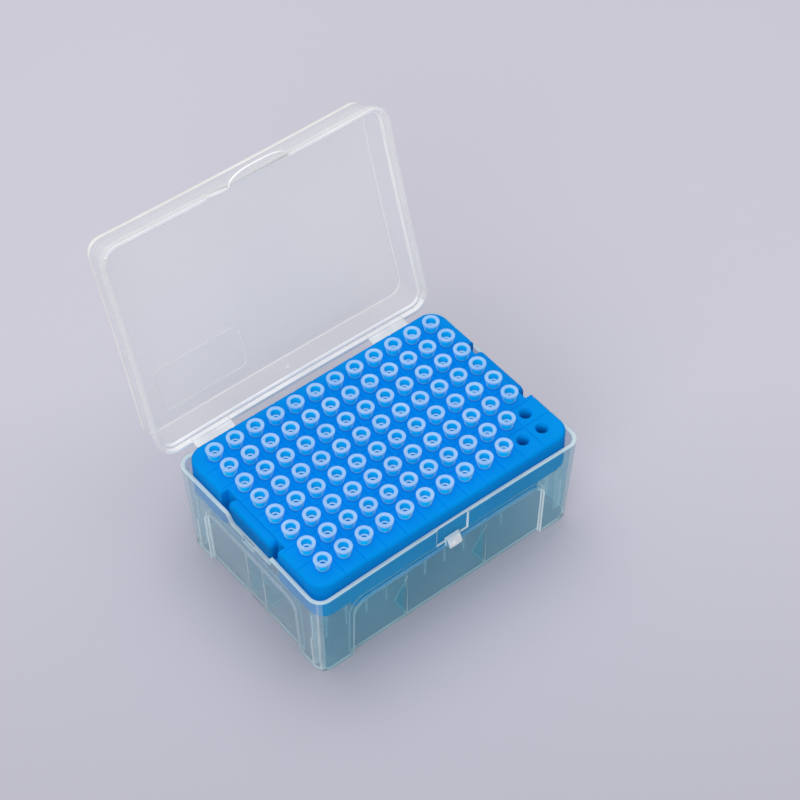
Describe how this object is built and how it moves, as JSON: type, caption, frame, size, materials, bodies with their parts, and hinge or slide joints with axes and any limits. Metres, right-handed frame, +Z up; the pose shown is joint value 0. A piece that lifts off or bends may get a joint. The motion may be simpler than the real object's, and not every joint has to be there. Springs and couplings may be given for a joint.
{
  "type": "pipette tip box",
  "caption": "Hinged plastic box with a drop-in rack plate that holds rows of long thin pipette tips, lid open.",
  "frame": {"origin": "middle of the base's footprint, on the surface that the box stands on", "axes": "+Z up, +Y towards the hinge side, +X along the rows, to the right seen from the latch side"},
  "size_m": [0.1246, 0.1302, 0.1367],
  "materials": {
    "base_plastic": "natural translucent polypropylene, slightly milky, satin gloss",
    "lid_plastic": "clear-natural polypropylene, thin and glossy",
    "strip_plastic": "white-looking flexed polypropylene",
    "blue_plastic": "saturated blue, satin",
    "tip_plastic": "milky translucent polypropylene, glossy"
  },
  "bodies": {
    "box": {"base": "base_plastic", "rack_plate": "blue_plastic", "hinge_strip_left": "strip_plastic", "hinge_strip_right": "strip_plastic", "tips_column_01": "tip_plastic", "tips_column_02": "tip_plastic", "tips_column_03": "tip_plastic", "tips_column_04": "tip_plastic", "tips_column_05": "tip_plastic", "tips_column_06": "tip_plastic", "tips_column_07": "tip_plastic", "tips_column_08": "tip_plastic", "tips_column_09": "tip_plastic", "tips_column_10": "tip_plastic", "tips_column_11": "tip_plastic", "tips_column_12": "tip_plastic"},
    "lid": {"lid": "lid_plastic"}
  },
  "joints": [
    {"name": "lid_hinge", "type": "hinge", "parent": "box", "child": "lid", "pos_m": [0, 0.04545, 0.03985], "axis": [1, 0, 0], "range_deg": [0, 107], "deforming": ["hinge_strip_left", "hinge_strip_right"]}
  ]
}
